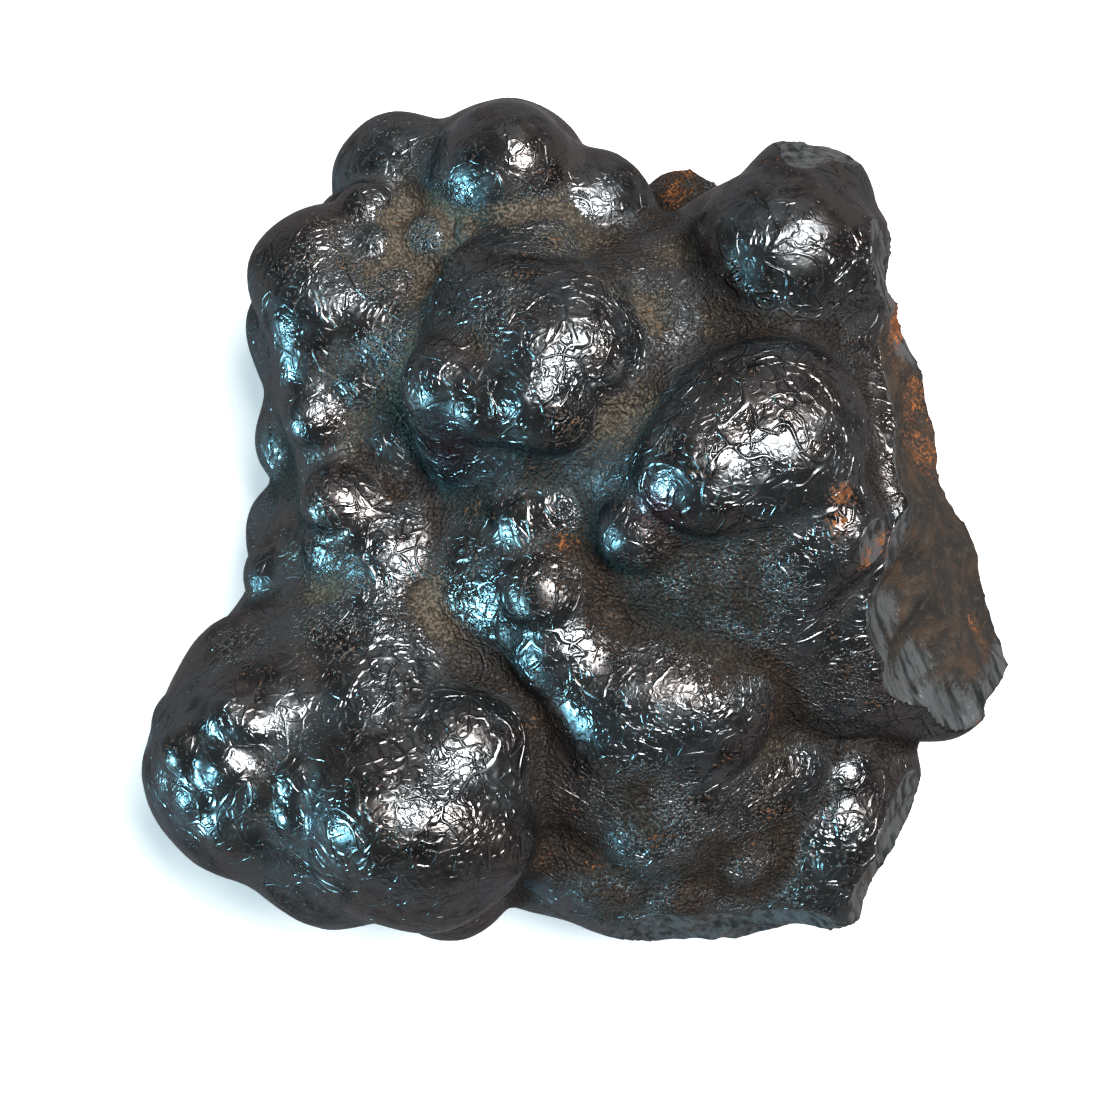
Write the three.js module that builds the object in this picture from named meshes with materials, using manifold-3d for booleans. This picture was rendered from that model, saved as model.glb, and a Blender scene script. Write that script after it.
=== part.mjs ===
// Botryoidal hematite: one hand-sized stone, lying on its broken back.
// Units are millimetres, +Z is up, and the origin is under the middle of the stone.
//
// The crust is a crowd of round lumps that grew into each other. Each lump is a ball,
// the balls are blended where they meet, and one closed skin is drawn over them all.
// The broken sides are then cut from that skin, and the flat rest is cut last.

import * as THREE from 'three';
import { mergeVertices } from 'three/addons/utils/BufferGeometryUtils.js';
import Module from 'manifold-3d';

// ---- driving dimensions -------------------------------------------------------------

const MASS_BLEND = 3;           // width of the blend where two inner masses meet
const BLEND_SHARE = 0.26;       // width of the blend at a lump's foot, as a share of its radius
const MIDDLE = [0.45, -0.15];   // middle of the stone in plan, which becomes the origin

const SWELL_HEIGHT = 0.25;      // how far the round lumps swell and sag
const SWELL_LENGTH = 6.5;       // distance between two swells
const SWELL_WAVES = [           // the waves that cross: the way each runs and where it starts
  { along: new THREE.Vector3(0.9, 0.45, 0), start: 0 },
  { along: new THREE.Vector3(0, 0.8, -0.5), start: 2 },
  { along: new THREE.Vector3(-0.6, 0, 0.7), start: 4 },
];

const CORE = new THREE.Vector3(-1, -2, 13);   // point inside the stone that the skin wraps
const SKIN_DETAIL = 20;         // how finely the starting icosahedron is divided
const START_RADIUS = 48;        // the skin starts this far out from the core
const MARCH_SHARE = 0.7;        // share of the remaining gap that a skin point moves in a step
const STOP_GAP = 0.02;          // closest that a skin point comes to the surface at first
const SLOPE_STEP = 0.05;        // distance over which the surface's slope is measured
const LEAST_SLOPE = 0.25;       // keeps a point in a crease from jumping away
const RELAX_ROUNDS = 14;        // rounds of evening out the skin's triangles
const RELAX_STRENGTH = 0.45;    // share of the way to the neighbours' middle in a round
const WELD = 1e-5;              // corners closer than this are one corner

const CUT_SIZE = 120;           // wider than the stone, so the floor cut goes right through
const BREAK_STEP = 1.6;         // distance between the points of a break's face
const BREAK_DEPTH = 14;         // thickness of what a break takes off
const SHELL_DEPTH = 0.55;       // depth of the shallow shells that a break is made of
const SHELL_ROWS = [            // each row of shells: its turn in a millimetre across and along
  [0.42, 0.15],
  [-0.22, 0.5],
];
const SHELL_WANDER = 1.3;       // how far the rows of shells wander
const WANDER_TURN = 0.4;        // turn of that wandering in a millimetre

const HEMATITE_BLACK = 0x1d1f22;
const HEMATITE_ROUGHNESS = 0.32;
const HEMATITE_METALNESS = 0.75;

// ---- the lumps ----------------------------------------------------------------------

// A lump is the centre of its ball and the ball's radius; a mass is an ellipsoid.
const lump = (x, y, z, radius) => ({ centre: new THREE.Vector3(x, y, z), radius });
const mass = (x, y, z, a, b, c) => ({
  centre: new THREE.Vector3(x, y, z),
  radii: new THREE.Vector3(a, b, c),
});

// Inner masses that fill the stone below the lumps.
const MASSES = [
  mass(-8, 9.5, 7.5, 11.3, 11.3, 12),      // under the dusty hollow at the upper left
  mass(4.5, 8.5, 12, 12, 10, 13.8),        // under the two high clusters
  mass(-10, -2.5, 8, 9.5, 9, 10.5),        // under the left column
  mass(-12.5, -14, 9, 11.5, 9, 12.5),      // under the great lobe
  mass(-13, -9.5, 9, 10.5, 6.5, 11.4),     // saddle between the lobe and the left column
  mass(3.5, -15.5, 8.5, 9.5, 9.6, 10.5),   // dusty foot at the bottom
  mass(-0.5, -3, 12, 10, 9, 12),           // middle
  mass(12, -2, 8, 12, 11, 13),             // under the broken side
  mass(12, 12, 12, 8, 8.5, 11.5),          // under the top right dome
  mass(16.5, -0.5, 11.5, 13, 13, 13.5),    // behind the broken side
  mass(8.5, -17, 7.5, 8.5, 9, 9),          // foot at the lower right
  mass(4.9, -10.6, 18.5, 6.5, 4.9, 6.4),   // long dome below the middle
];

const TOP_LUMPS = [
  lump(-4.5, 19.7, 13.2, 5.8),
  lump(-4.1, 20.7, 16.6, 4),
  lump(-10.4, 20.6, 12, 4.3),
  lump(1.1, 17.6, 14, 3.9),
  lump(-2.7, 14.6, 19, 3.8),
  lump(-5.2, 13.4, 20, 3.2),
  lump(6.8, 19, 8, 2.9),
  lump(8.3, 21.6, 8.5, 1.3),
  lump(-9, 15.9, 15, 2.8),
  lump(-11.6, 15.6, 15.2, 2.5),
  lump(-13, 16.7, 15, 2.3),
  lump(-4.1, 20.9, 17.8, 3.8),
];

const LEFT_LUMPS = [
  lump(-15, 14.6, 14, 4.6),
  lump(-13.3, 7.5, 14, 4.6),
  lump(-17.8, -3.2, 12, 2.4),
  lump(-10.8, -1.8, 15.5, 4.6),
  lump(-13, 1.2, 16.5, 2.8),
  lump(-13.2, 4, 14.2, 3.7),
  lump(-13.6, 12.4, 15, 4.3),
  lump(-15, 13.1, 15.4, 3.6),
  lump(-15.1, 9.9, 15.5, 2.8),
  lump(-15.2, 6.5, 16.4, 2.3),
  lump(-13.8, -1.3, 15.9, 2.6),
  lump(-14.1, 1.2, 17.4, 2.2),
  lump(-10.4, 5.2, 16.6, 2.4),
  lump(-10.4, 4, 16.4, 2.2),
  lump(-12.6, 8.2, 17.2, 2),
  lump(-10.1, 3.8, 16, 2.4),
  lump(-9.7, 10.8, 15.6, 4.5),
  lump(-11.6, 16, 16.5, 2),
  lump(-8.5, 16.3, 16.7, 2.4),
  lump(-10.2, 13.7, 17.1, 2.3),
  lump(-12.2, 18.6, 15.4, 2.1),
];

const MIDDLE_LUMPS = [
  lump(-2.5, 8.5, 19.5, 7.2),
  lump(-0.9, 9.9, 24, 4.8),
  lump(-6, 7.6, 22, 4),
  lump(-6.8, 8, 24, 3),
  lump(-4.6, 7, 25.2, 2.8),
  lump(-2, 6.9, 25.9, 3.2),
  lump(-6.2, 5.2, 20.5, 3),
  lump(-3, 5.3, 21.5, 3.3),
  lump(-3.6, 11.2, 22.8, 3.8),
  lump(3, 5, 18.6, 7),
  lump(5.5, 9.5, 19.5, 5.4),
  lump(12, 10.4, 20.2, 4.4),
  lump(0.7, 18.4, 15.8, 4),
];

const RIGHT_LUMPS = [
  lump(8, 0.6, 19, 8.2),
  lump(10.5, -2.2, 19.5, 6.8),
  lump(14, -4, 16, 7.2),
  lump(19, -6, 10, 6.5),
  lump(21.3, -8.4, 14.6, 4.3),
  lump(10.4, 4.6, 25, 6.1),
  lump(6.9, 3.1, 27.2, 3.9),
  lump(5.6, 2.4, 23.5, 4.4),
  lump(3.4, -0.3, 25.7, 2.2),
  lump(12.5, -1.4, 24.3, 3.6),
  lump(13.9, -0.2, 25.4, 3.3),
];

const TOP_RIGHT_LUMPS = [
  lump(12.3, 14.6, 17, 6.7),
  lump(11.6, 15.4, 22.5, 5.1),
  lump(15.1, 15.2, 23, 3),
  lump(13.1, 18.6, 20, 3.9),
];

const SMALL_KNOBS = [
  lump(-2.3, 0.7, 21.3, 3),
  lump(-0.8, 0.9, 22.2, 2.2),
  lump(-1.8, -3.9, 22.6, 2.6),
  lump(-1, -7, 21.3, 3),
  lump(0.4, -6.8, 21.1, 3),
  lump(7, -9.8, 20.6, 4.5),
  lump(3.5, -10.3, 19.4, 5.5),
];

const FOOT_LUMPS = [
  lump(15.2, -17.9, 12.5, 4.8),
  lump(14.7, -20.6, 11, 4.5),
  lump(16.2, -15.3, 10, 5),
  lump(15.8, -14.9, 14.4, 2.6),
  lump(12.1, -14.6, 13.5, 3.4),
  lump(0.5, -18.6, 14.5, 3.6),
  lump(5, -20.5, 13, 3.6),
  lump(7.5, -17, 15.2, 3.4),
  lump(3.6, -15.6, 16.6, 3.2),
  lump(4.7, -14.8, 16.3, 5.8),
  lump(0.9, -13.7, 17.2, 4.6),
  lump(9.2, -14.2, 15.4, 4.6),
  lump(12, -14.3, 15.7, 2.9),
  lump(3.9, -17.5, 18.6, 2.5),
  lump(9.6, -18.9, 15.3, 2.5),
  lump(1.8, -20.4, 15.8, 2.4),
  lump(6, -21.4, 14.9, 2.3),
];

const LOBE_LUMPS = [
  lump(-9.5, -16.2, 17.4, 7.6),
  lump(-18.6, -14.1, 14.6, 7.2),
  lump(-11.6, -7.2, 16.6, 4.4),
  lump(-11.2, -10.6, 17, 5.6),
  lump(-3.4, -13.5, 14.5, 5),
  lump(-4, -10.4, 16.4, 4.6),
  lump(-19.2, -8.7, 14.6, 3.7),
  lump(-14.5, -18.5, 13.5, 5.5),
  lump(-17.6, -11.5, 18, 4.2),
  lump(-6.6, -13.2, 20.2, 4.2),
  lump(-14.1, -14.6, 19.1, 4),
  lump(-11, -16.3, 21.4, 4.4),
  lump(-7.7, -17.2, 21.2, 4.2),
  lump(-5.8, -17.3, 20.7, 3.4),
  lump(-19.7, -11, 20.3, 1.9),
  lump(-22.3, -13.2, 19.3, 1.9),
  lump(-19.9, -13.9, 20.4, 2),
  lump(-17.8, -14.9, 20.6, 1.8),
  lump(-15.9, -14.6, 21.3, 1.8),
  lump(-15.9, -16.3, 21, 1.8),
  lump(-21.9, -15.6, 19.1, 1.8),
  lump(-23.5, -11.5, 16.2, 1.8),
  lump(-18.6, -11.7, 20.9, 1.6),
  lump(-20.3, -17.3, 18.8, 2),
];

const SIDE_LUMPS = [
  lump(-16, 12, 8, 4.2),
  lump(-16.3, 5.5, 8.5, 3.4),
  lump(-16.8, -0.5, 7, 3.6),
  lump(-20.6, -16, 8.5, 4.6),
  lump(-15, -19, 9, 4.8),
  lump(-8, -20.2, 9.5, 5),
  lump(-2, -20, 8, 4),
  lump(-12.5, 17.5, 6.5, 4),
  lump(-6, 20.5, 7, 4.4),
  lump(1, 18, 6.5, 4),
];

const LUMPS = [
  ...TOP_LUMPS, ...LEFT_LUMPS, ...MIDDLE_LUMPS, ...RIGHT_LUMPS,
  ...TOP_RIGHT_LUMPS, ...SMALL_KNOBS, ...FOOT_LUMPS, ...LOBE_LUMPS, ...SIDE_LUMPS,
];

// The broken sides: a point on the break, the way that it faces, the width of its face,
// the radius that it is hollowed to, and how thick a piece it takes off if it isn't the usual.
const BREAKS = [
  { at: [20.7, 1, 17.5], facing: [0.934, 0.168, 0.317], width: 60, hollow: 120 },  // long broken side
  { at: [18.75, 7.5, 13], facing: [0.934, 0.168, 0.317], width: 19.2, hollow: 20 },  // bowl in it
  { at: [23.8, 1, 8.5], facing: [0.85, 0.18, -0.5], width: 40, hollow: 60 },  // undercut below it
  { at: [19.4, 13, 9], facing: [0.8, 0.6, -0.15], width: 22, hollow: 40 },  // corner by the top dome
  { at: [13, 21.9, 20], facing: [0.12, 0.9, 0.35], width: 16, hollow: 30 },  // chip on the top dome
  { at: [9, -24.6, 9], facing: [0.05, -0.95, 0.3], width: 17, hollow: 40 },  // edge of the foot
  { at: [17.05, -22.8, 12], facing: [0.9, -0.32, 0.3], width: 20, hollow: 40 },  // chip on the foot
  { at: [17.3, -6.6, 22], facing: [0.8, -0.14, 0.58], width: 20, hollow: 18 },  // shell-shaped break
];

// ---- the surface of the blended lumps -------------------------------------------------

// Joins two distances with a rounded crease of the given width.
function blend(a, b, width) {
  const overlap = Math.max(width - Math.abs(a - b), 0) / width;
  return Math.min(a, b) - overlap * overlap * width / 4;
}

function distanceToMass(point, { centre, radii }) {
  const scaled = new THREE.Vector3().subVectors(point, centre).divide(radii);
  const slope = scaled.clone().divide(radii).length();
  const length = scaled.length();
  return length === 0 ? -radii.z : length * (length - 1) / slope;
}

// Slow swell that keeps the balls from looking turned on a lathe.
function swell(point) {
  const turn = 2 * Math.PI / SWELL_LENGTH;
  const heights = SWELL_WAVES.map(({ along, start }) => Math.sin(turn * along.dot(point) + start));
  return SWELL_HEIGHT * heights.reduce((sum, height) => sum + height) / heights.length;
}

// Distance from a point to the stone, below zero inside it.
function distance(point) {
  let nearest = Infinity;
  for (const one of MASSES) nearest = blend(nearest, distanceToMass(point, one), MASS_BLEND);
  for (const { centre, radius } of LUMPS) {
    nearest = blend(nearest, point.distanceTo(centre) - radius, BLEND_SHARE * radius);
  }
  return nearest - swell(point);
}

function slopeAt(point) {
  const slope = new THREE.Vector3();
  const probe = new THREE.Vector3();
  for (const axis of ['x', 'y', 'z']) {
    probe.copy(point)[axis] += SLOPE_STEP;
    const ahead = distance(probe);
    probe[axis] -= 2 * SLOPE_STEP;
    slope[axis] = (ahead - distance(probe)) / (2 * SLOPE_STEP);
  }
  return slope;
}

// Moves a point that is near the surface onto it, down the slope.
function settle(point) {
  const slope = slopeAt(point);
  return point.addScaledVector(slope, -distance(point) / Math.max(slope.lengthSq(), LEAST_SLOPE));
}

// ---- the skin ---------------------------------------------------------------------------

// Welds the corners that triangles share, and drops all but their places.
function weld(geometry) {
  const bare = geometry.clone();
  bare.deleteAttribute('normal');
  bare.deleteAttribute('uv');
  return mergeVertices(bare, WELD);
}

// Draws a ball of triangles in towards the core until it lies on the lumps.
function wrapSkin() {
  const skin = weld(new THREE.IcosahedronGeometry(1, SKIN_DETAIL));
  const place = skin.getAttribute('position');
  const points = [];
  for (let i = 0; i < place.count; i += 1) {
    const inward = new THREE.Vector3().fromBufferAttribute(place, i).normalize();
    const point = CORE.clone().addScaledVector(inward, START_RADIUS);
    let gap = distance(point);
    while (gap > STOP_GAP) {
      point.addScaledVector(inward, -gap * MARCH_SHARE);
      gap = distance(point);
    }
    points.push(point);
  }
  relax(points, neighboursOf(skin, points.length));
  points.forEach((point, i) => place.setXYZ(i, point.x, point.y, point.z));
  return skin;
}

function neighboursOf(skin, count) {
  const neighbours = Array.from({ length: count }, () => new Set());
  const corners = skin.getIndex().array;
  for (let i = 0; i < corners.length; i += 3) {
    for (let side = 0; side < 3; side += 1) {
      const from = corners[i + side];
      const to = corners[i + (side + 1) % 3];
      neighbours[from].add(to);
      neighbours[to].add(from);
    }
  }
  return neighbours;
}

// Evens out the triangles while every point stays on the surface.
function relax(points, neighbours) {
  for (let round = 0; round < RELAX_ROUNDS; round += 1) {
    const middles = neighbours.map((near) => {
      const middle = new THREE.Vector3();
      near.forEach((other) => middle.add(points[other]));
      return middle.divideScalar(near.size);
    });
    points.forEach((point, i) => settle(settle(point.lerp(middles[i], RELAX_STRENGTH))));
  }
}

// ---- cutting ----------------------------------------------------------------------------

const wasm = await Module();
wasm.setup();

function toSolid(geometry) {
  const welded = weld(geometry);
  return new wasm.Manifold(new wasm.Mesh({
    numProp: 3,
    vertProperties: new Float32Array(welded.getAttribute('position').array),
    triVerts: new Uint32Array(welded.getIndex().array),
  }));
}

function toGeometry(solid) {
  const { vertProperties, triVerts } = solid.getMesh();
  const geometry = new THREE.BufferGeometry();
  geometry.setAttribute('position', new THREE.BufferAttribute(vertProperties, 3));
  geometry.setIndex(new THREE.BufferAttribute(triVerts, 1));
  return geometry;
}

function floorCut() {
  const box = new THREE.BoxGeometry(CUT_SIZE, CUT_SIZE, CUT_SIZE);
  box.translate(0, 0, -CUT_SIZE / 2);
  return toSolid(box);
}

// Unevenness of a break: rows of shallow shells with sharp ridges between them.
function shells(x, y) {
  const across = x + SHELL_WANDER * Math.sin(WANDER_TURN * y + 1);
  const along = y + SHELL_WANDER * Math.sin(WANDER_TURN * x + 2);
  const hollows = SHELL_ROWS.map(([a, b]) => Math.abs(Math.sin(a * across + b * along)));
  return SHELL_DEPTH * (1 - hollows[0] - hollows[1]);
}

// What is taken off: a block whose inner face is hollowed and made of shells.
function breakCut({ at, facing, width, hollow, depth = BREAK_DEPTH }) {
  const steps = Math.round(width / BREAK_STEP);
  const block = new THREE.BoxGeometry(width, width, depth, steps, steps, 1);
  block.translate(0, 0, depth / 2);
  const place = block.getAttribute('position');
  for (let i = 0; i < place.count; i += 1) {
    if (place.getZ(i) > 0) continue;
    const x = place.getX(i);
    const y = place.getY(i);
    place.setZ(i, (x * x + y * y) / (2 * hollow) + shells(x, y));
  }
  block.applyQuaternion(new THREE.Quaternion().setFromUnitVectors(
    new THREE.Vector3(0, 0, 1), new THREE.Vector3(...facing).normalize()));
  block.translate(...at);
  return toSolid(block);
}

let stoneSolid = toSolid(wrapSkin());
for (const one of BREAKS) stoneSolid = stoneSolid.subtract(breakCut(one));
stoneSolid = stoneSolid.subtract(floorCut());
const stoneGeometry = toGeometry(stoneSolid);
stoneGeometry.translate(-MIDDLE[0], -MIDDLE[1], 0);

// ---- the object ---------------------------------------------------------------------------

const group = new THREE.Group();
const hematite = new THREE.MeshStandardMaterial({
  color: HEMATITE_BLACK,
  roughness: HEMATITE_ROUGHNESS,
  metalness: HEMATITE_METALNESS,
});
const stone = new THREE.Mesh(stoneGeometry, hematite);
stone.name = 'stone';
group.add(stone);

export default group;
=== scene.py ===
"""Botryoidal hematite: one hand-sized stone, lying on its broken back on a pale floor.

The stone's form is a crowd of balls that grew into each other, cut by a few breaks. It is the coarse
solid's form, given here again in millimetres to draw a fine skin over that solid. Geometry Nodes then
crumple the skin, and one material dresses it: wrinkled black crust, dust in the creases with painted
shade darkening the creases and the sides near the floor, steel-grey breaks and rust. Whatever is handed
to Blender is in metres.
"""

import logging
import math
from collections.abc import Iterable
from dataclasses import dataclass, field
from enum import Enum

import bpy
import numpy as np
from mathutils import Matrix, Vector


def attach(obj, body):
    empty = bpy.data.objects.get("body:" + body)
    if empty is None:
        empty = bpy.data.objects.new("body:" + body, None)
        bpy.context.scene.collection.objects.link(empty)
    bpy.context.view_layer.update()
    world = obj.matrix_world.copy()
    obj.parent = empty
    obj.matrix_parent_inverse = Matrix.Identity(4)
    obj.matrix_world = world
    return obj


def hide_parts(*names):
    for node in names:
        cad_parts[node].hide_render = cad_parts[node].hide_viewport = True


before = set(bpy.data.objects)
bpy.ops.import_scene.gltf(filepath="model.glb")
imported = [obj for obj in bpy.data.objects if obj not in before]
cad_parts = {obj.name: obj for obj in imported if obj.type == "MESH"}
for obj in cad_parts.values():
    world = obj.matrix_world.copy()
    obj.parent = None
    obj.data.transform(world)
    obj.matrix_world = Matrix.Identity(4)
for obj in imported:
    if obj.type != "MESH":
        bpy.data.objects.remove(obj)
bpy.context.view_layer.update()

LOG = logging.getLogger("hematite")
MM = 0.001
TINY = 1e-9

Point = tuple[float, float, float]
Colour = tuple[float, float, float, float]
Range = tuple[float, float]
Node = bpy.types.Node
Socket = bpy.types.NodeSocket
Value = float | Socket


class Region(Enum):
    """The parts of the crust that the balls are listed by."""

    TOP = "two round lumps at the far edge, and the small ones before them"
    LEFT = "column of lumps down the left side"
    MIDDLE = "high cluster left of the middle"
    RIGHT = "highest cluster, by the broken side"
    TOP_RIGHT = "dome at the far right corner"
    KNOBS = "small knobs in the middle, and the long dome"
    FOOT = "low foot at the near right"
    LOBE = "great lobe at the near left, with its knobs"
    SIDES = "low bulges under the left and far edges"


class Mark(Enum):
    """What the skin's points carry for the material, as attributes of the mesh."""

    VALLEY = "valley"
    BROKEN = "broken"
    RIND = "rind"
    PALE_DUST = "pale_dust"
    # Dark dust, and painted shade: the near-black laid in the valleys, on shaded patches and low down by the
    # floor.
    DARK_DUST_AND_SHADE = "dark_dust_and_shade"
    RUST = "rust"
    RED = "red"
    SMOOTH = "smooth"


@dataclass(frozen=True)
class Break:
    """A broken side, in millimetres: a block is taken off, and its inner face is what is left.

    Attributes:
        at: A point on the break.
        facing: The way that the break faces.
        width: How wide the block is.
        hollow: The radius that the break is hollowed to.
        depth: How thick the block is.
    """

    at: Point
    facing: Point
    width: float
    hollow: float
    depth: float = 14.0


@dataclass(frozen=True)
class Patch:
    """A round patch of dust, painted shade, rust, red tint, bared rind or smooth crust, in millimetres.

    Attributes:
        at: The patch's middle, from the middle of the stone's back.
        reach: How far it spreads before it has faded.
        strength: How much of it lies at its middle, from 0 to 1.
    """

    at: Point
    reach: float
    strength: float


# Inner masses below the lumps: each one's middle and its three radii.
MASSES: tuple[tuple[float, ...], ...] = (
    (-8, 9.5, 7.5, 11.3, 11.3, 12), (4.5, 8.5, 12, 12, 10, 13.8), (-10, -2.5, 8, 9.5, 9, 10.5),
    (-12.5, -14, 9, 11.5, 9, 12.5), (-13, -9.5, 9, 10.5, 6.5, 11.4), (3.5, -15.5, 8.5, 9.5, 9.6, 10.5),
    (-0.5, -3, 12, 10, 9, 12), (12, -2, 8, 12, 11, 13), (12, 12, 12, 8, 8.5, 11.5),
    (16.5, -0.5, 11.5, 13, 13, 13.5), (8.5, -17, 7.5, 8.5, 9, 9), (4.9, -10.6, 18.5, 6.5, 4.9, 6.4),
)

# The lumps of the crust: each ball's middle and its radius.
LUMPS: dict[Region, tuple[tuple[float, float, float, float], ...]] = {
    Region.TOP: (
        (-4.5, 19.7, 13.2, 5.8), (-4.1, 20.7, 16.6, 4), (-10.4, 20.6, 12, 4.3), (1.1, 17.6, 14, 3.9),
        (-2.7, 14.6, 19, 3.8), (-5.2, 13.4, 20, 3.2), (6.8, 19, 8, 2.9), (8.3, 21.6, 8.5, 1.3),
        (-9, 15.9, 15, 2.8), (-11.6, 15.6, 15.2, 2.5), (-13, 16.7, 15, 2.3), (-4.1, 20.9, 17.8, 3.8),
    ),
    Region.LEFT: (
        (-15, 14.6, 14, 4.6), (-13.3, 7.5, 14, 4.6), (-17.8, -3.2, 12, 2.4), (-10.8, -1.8, 15.5, 4.6),
        (-13, 1.2, 16.5, 2.8), (-13.2, 4, 14.2, 3.7), (-13.6, 12.4, 15, 4.3), (-15, 13.1, 15.4, 3.6),
        (-15.1, 9.9, 15.5, 2.8), (-15.2, 6.5, 16.4, 2.3), (-13.8, -1.3, 15.9, 2.6),
        (-14.1, 1.2, 17.4, 2.2), (-10.4, 5.2, 16.6, 2.4), (-10.4, 4, 16.4, 2.2), (-12.6, 8.2, 17.2, 2),
        (-10.1, 3.8, 16, 2.4), (-9.7, 10.8, 15.6, 4.5), (-11.6, 16, 16.5, 2), (-8.5, 16.3, 16.7, 2.4),
        (-10.2, 13.7, 17.1, 2.3), (-12.2, 18.6, 15.4, 2.1),
    ),
    Region.MIDDLE: (
        (-2.5, 8.5, 19.5, 7.2), (-0.9, 9.9, 24, 4.8), (-6, 7.6, 22, 4), (-6.8, 8, 24, 3),
        (-4.6, 7, 25.2, 2.8), (-2, 6.9, 25.9, 3.2), (-6.2, 5.2, 20.5, 3), (-3, 5.3, 21.5, 3.3),
        (-3.6, 11.2, 22.8, 3.8), (3, 5, 18.6, 7), (5.5, 9.5, 19.5, 5.4), (12, 10.4, 20.2, 4.4),
        (0.7, 18.4, 15.8, 4),
    ),
    Region.RIGHT: (
        (8, 0.6, 19, 8.2), (10.5, -2.2, 19.5, 6.8), (14, -4, 16, 7.2), (19, -6, 10, 6.5),
        (21.3, -8.4, 14.6, 4.3), (10.4, 4.6, 25, 6.1), (6.9, 3.1, 27.2, 3.9), (5.6, 2.4, 23.5, 4.4),
        (3.4, -0.3, 25.7, 2.2), (12.5, -1.4, 24.3, 3.6), (13.9, -0.2, 25.4, 3.3),
    ),
    Region.TOP_RIGHT: (
        (12.3, 14.6, 17, 6.7), (11.6, 15.4, 22.5, 5.1), (15.1, 15.2, 23, 3), (13.1, 18.6, 20, 3.9),
    ),
    Region.KNOBS: (
        (-2.3, 0.7, 21.3, 3), (-0.8, 0.9, 22.2, 2.2), (-1.8, -3.9, 22.6, 2.6), (-1, -7, 21.3, 3),
        (0.4, -6.8, 21.1, 3), (7, -9.8, 20.6, 4.5), (3.5, -10.3, 19.4, 5.5),
    ),
    Region.FOOT: (
        (15.2, -17.9, 12.5, 4.8), (14.7, -20.6, 11, 4.5), (16.2, -15.3, 10, 5),
        (15.8, -14.9, 14.4, 2.6), (12.1, -14.6, 13.5, 3.4), (0.5, -18.6, 14.5, 3.6),
        (5, -20.5, 13, 3.6), (7.5, -17, 15.2, 3.4), (3.6, -15.6, 16.6, 3.2), (4.7, -14.8, 16.3, 5.8),
        (0.9, -13.7, 17.2, 4.6), (9.2, -14.2, 15.4, 4.6), (12, -14.3, 15.7, 2.9),
        (3.9, -17.5, 18.6, 2.5), (9.6, -18.9, 15.3, 2.5), (1.8, -20.4, 15.8, 2.4),
        (6, -21.4, 14.9, 2.3),
    ),
    Region.LOBE: (
        (-9.5, -16.2, 17.4, 7.6), (-18.6, -14.1, 14.6, 7.2), (-11.6, -7.2, 16.6, 4.4),
        (-11.2, -10.6, 17, 5.6), (-3.4, -13.5, 14.5, 5), (-4, -10.4, 16.4, 4.6),
        (-19.2, -8.7, 14.6, 3.7), (-14.5, -18.5, 13.5, 5.5), (-17.6, -11.5, 18, 4.2),
        (-6.6, -13.2, 20.2, 4.2), (-14.1, -14.6, 19.1, 4), (-11, -16.3, 21.4, 4.4),
        (-7.7, -17.2, 21.2, 4.2), (-5.8, -17.3, 20.7, 3.4), (-19.7, -11, 20.3, 1.9),
        (-22.3, -13.2, 19.3, 1.9), (-19.9, -13.9, 20.4, 2), (-17.8, -14.9, 20.6, 1.8),
        (-15.9, -14.6, 21.3, 1.8), (-15.9, -16.3, 21, 1.8), (-21.9, -15.6, 19.1, 1.8),
        (-23.5, -11.5, 16.2, 1.8), (-18.6, -11.7, 20.9, 1.6), (-20.3, -17.3, 18.8, 2),
    ),
    Region.SIDES: (
        (-16, 12, 8, 4.2), (-16.3, 5.5, 8.5, 3.4), (-16.8, -0.5, 7, 3.6), (-20.6, -16, 8.5, 4.6),
        (-15, -19, 9, 4.8), (-8, -20.2, 9.5, 5), (-2, -20, 8, 4), (-12.5, 17.5, 6.5, 4),
        (-6, 20.5, 7, 4.4), (1, 18, 6.5, 4),
    ),
}

BREAKS: tuple[Break, ...] = (
    Break((20.7, 1, 17.5), (0.934, 0.168, 0.317), 60, 120),  # long broken side
    Break((18.75, 7.5, 13), (0.934, 0.168, 0.317), 19.2, 20),  # bowl in it
    Break((23.8, 1, 8.5), (0.85, 0.18, -0.5), 40, 60),  # undercut below it
    Break((19.4, 13, 9), (0.8, 0.6, -0.15), 22, 40),  # corner by the top dome
    Break((13, 21.9, 20), (0.12, 0.9, 0.35), 16, 30),  # chip on the top dome
    Break((9, -24.6, 9), (0.05, -0.95, 0.3), 17, 40),  # edge of the foot
    Break((17.05, -22.8, 12), (0.9, -0.32, 0.3), 20, 40),  # chip on the foot
    Break((17.3, -6.6, 22), (0.8, -0.14, 0.58), 20, 18),  # shell-shaped break
)
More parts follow.
